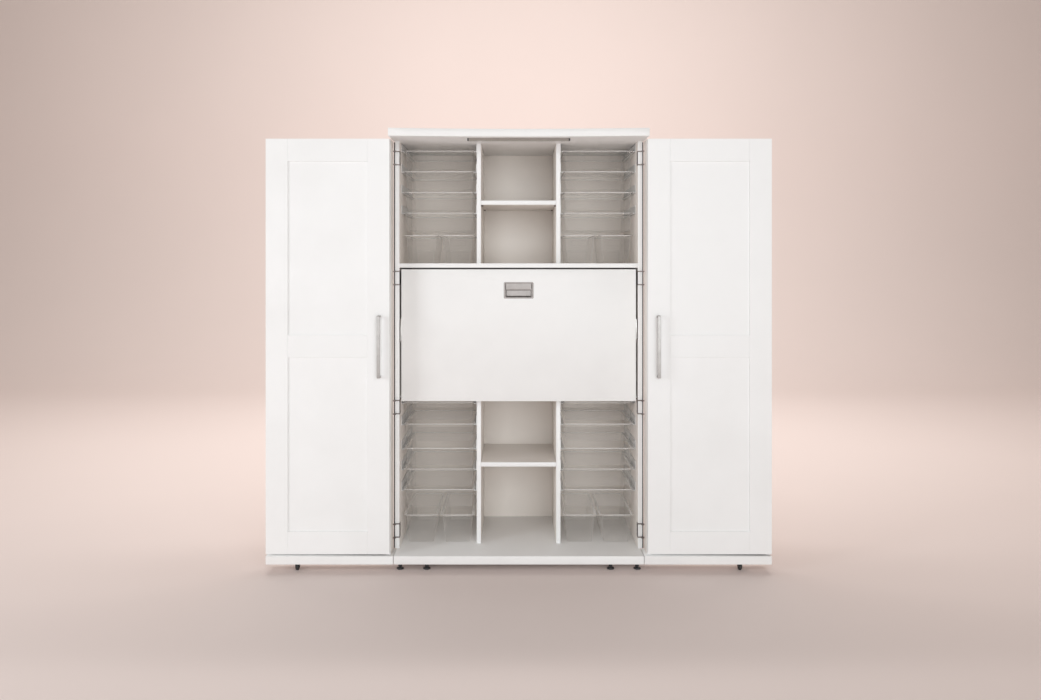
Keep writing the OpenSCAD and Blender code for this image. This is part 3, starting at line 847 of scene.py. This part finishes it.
def build_screw_caps():
    """Flat caps over the assembly screws on the outer faces of the side panels."""
    bm = bmesh.new()
    levels = (base_high.z + 9.5 * MM, (work_low.z + work_high.z) / 2, (shelf_low.z + shelf_high.z) / 2,
              top_low.z - 40 * MM)
    for _, sign in SIDES:
        for z in levels:
            for share in (0.14, 0.5, 0.86):
                y = panel_low.y + share * (panel_high.y - panel_low.y)
                lathe(bm, [(6 * MM, -0.2 * MM), (6 * MM, 0.4 * MM), (5 * MM, 0.8 * MM)],
                      facing((sign, 0, 0), (sign * panel_high.x, y, z)), 24)
    piece("side_screw_caps", bm, CAP, "carcass")


def build_gap_shade_strips():
    """A black strip with a bulb edge down each side panel, across most of the gap beside a wing: painted
    shadow, a dark piece standing in for the shade in that gap.
    """
    gap = wing_low.x - panel_high.x
    reach = gap - 1.5 * MM
    front = panel_low.y + 0.1 * MM
    bulb_r = 2.6 * MM
    x, y = panel_high.x + reach - bulb_r, front + bulb_r
    bulb = [(x + bulb_r * math.cos(a), y + bulb_r * math.sin(a))
            for a in (math.radians(15 * i - 90) for i in range(13))]
    outline = [(panel_high.x, front), (x, front)] + bulb[1:]
    outline += [(panel_high.x + 1.5 * MM, y + bulb_r), (panel_high.x + 1.5 * MM, y + 9 * MM),
                (panel_high.x, y + 9 * MM)]
    low, high = base_high.z + 2 * MM, top_low.z - 4 * MM
    for side, sign in SIDES:
        bm = bmesh.new()
        prism(bm, [(x, y, low) for x, y in outline], (0, 0, high - low))
        # Black stands in for the shadow in the gap: painted shade, not a real seal
        piece(f"{side}_gap_shade_strip", bm, BLACK, "carcass", sign < 0, smooth=50)


def build_back_screws():
    """Screws round the edge of the back panel."""
    low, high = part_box("back_panel")
    bm = bmesh.new()
    rows = 8
    for i in range(rows + 1):
        z = low.z + 12 * MM + i * (high.z - low.z - 24 * MM) / rows
        for x in (low.x + 10 * MM, high.x - 10 * MM, -divider_x - board / 2, divider_x + board / 2):
            screw(bm, (x, high.y - 0.9 * MM, z), (0, 1, 0), 3.6 * MM, 0.8 * MM)
    piece("back_panel_screws", bm, NICKEL, "carcass")


# Stage, light and camera --------------------------------------------------------------

def build_stage():
    """A pale floor that curves up into a wall far behind."""
    bm = bmesh.new()
    half, near, far, bend, tall = 14.0, -12.0, 8.0, 3.0, 9.0
    path = [(near, 0.0), (far - bend, 0.0)]
    path += [(far - bend + bend * math.sin(a), bend - bend * math.cos(a))
             for a in (math.radians(7.5 * i) for i in range(1, 13))]
    path.append((far, tall))
    columns = [[bm.verts.new((x, y, z)) for y, z in path] for x in (-half, half)]
    for i in range(len(path) - 1):
        bm.faces.new((columns[0][i], columns[1][i], columns[1][i + 1], columns[0][i + 1]))
    mesh = bpy.data.meshes.new("studio_sweep")
    bm.to_mesh(mesh)
    bm.free()
    for polygon in mesh.polygons:
        polygon.use_smooth = True
    sweep = bpy.data.objects.new("studio_sweep", mesh)
    bpy.context.scene.collection.objects.link(sweep)
    mesh.materials.append(stage_material("pale_blush", (0.80, 0.70, 0.665)))


def area_light(name, place, target, size, watts, colour):
    light = bpy.data.lights.new(name, "AREA")
    light.shape = "RECTANGLE"
    light.size, light.size_y = size
    light.energy = watts
    light.color = colour
    obj = bpy.data.objects.new(name, light)
    bpy.context.scene.collection.objects.link(obj)
    obj.location = place
    obj.rotation_euler = (Vector(target) - Vector(place)).to_track_quat("-Z", "Y").to_euler()
    obj.visible_camera = False


def build_lights():
    middle = (0, 0, 0.95)
    area_light("key_left", (-3.9, -2.9, 1.75), middle, (1.3, 1.3), 52, (0.915, 0.965, 1))
    area_light("fill_front", (0.7, -6.0, 1.9), middle, (5.0, 3.6), 180, (0.905, 0.965, 1))
    area_light("wall_wash", (0.0, 1.2, 5.2), (0, 6.5, 1.5), (6.0, 1.5), 380, (1, 0.97, 0.95))
    world = bpy.data.worlds.new("studio")
    bpy.context.scene.world = world
    world.use_nodes = True
    background = world.node_tree.nodes["Background"]
    background.inputs["Color"].default_value = (0.97, 0.87, 0.80, 1)
    background.inputs["Strength"].default_value = 0.36


def build_camera():
    camera = bpy.data.cameras.new("camera")
    camera.sensor_width = 36
    camera.lens = 29.71
    camera.shift_x = 0.0053
    camera.shift_y = -0.0797
    obj = bpy.data.objects.new("camera", camera)
    bpy.context.scene.collection.objects.link(obj)
    obj.location = (-0.016, -3.914, 1.304)
    obj.rotation_euler = (math.radians(90), 0, 0)
    bpy.context.scene.camera = obj


def set_look():
    scene = bpy.context.scene
    scene.view_settings.view_transform = "Standard"
    scene.cycles.max_bounces = 24
    scene.cycles.transmission_bounces = 24
    scene.cycles.transparent_max_bounces = 24


build_camera()
set_look()
build_stage()
build_lights()
dress_boards()
dress_metal()
for side_name, side_sign in SIDES:
    build_door(side_name, side_sign)
    build_handle(side_name, side_sign)
    build_wing_hinges(side_name, side_sign)
    build_caster(side_name, side_sign)
    build_rails(side_name, side_sign)
build_cup_pull()
build_light_bar()
build_feet()
build_totes()
build_shelf_holes()
build_screw_caps()
build_gap_shade_strips()
build_back_screws()
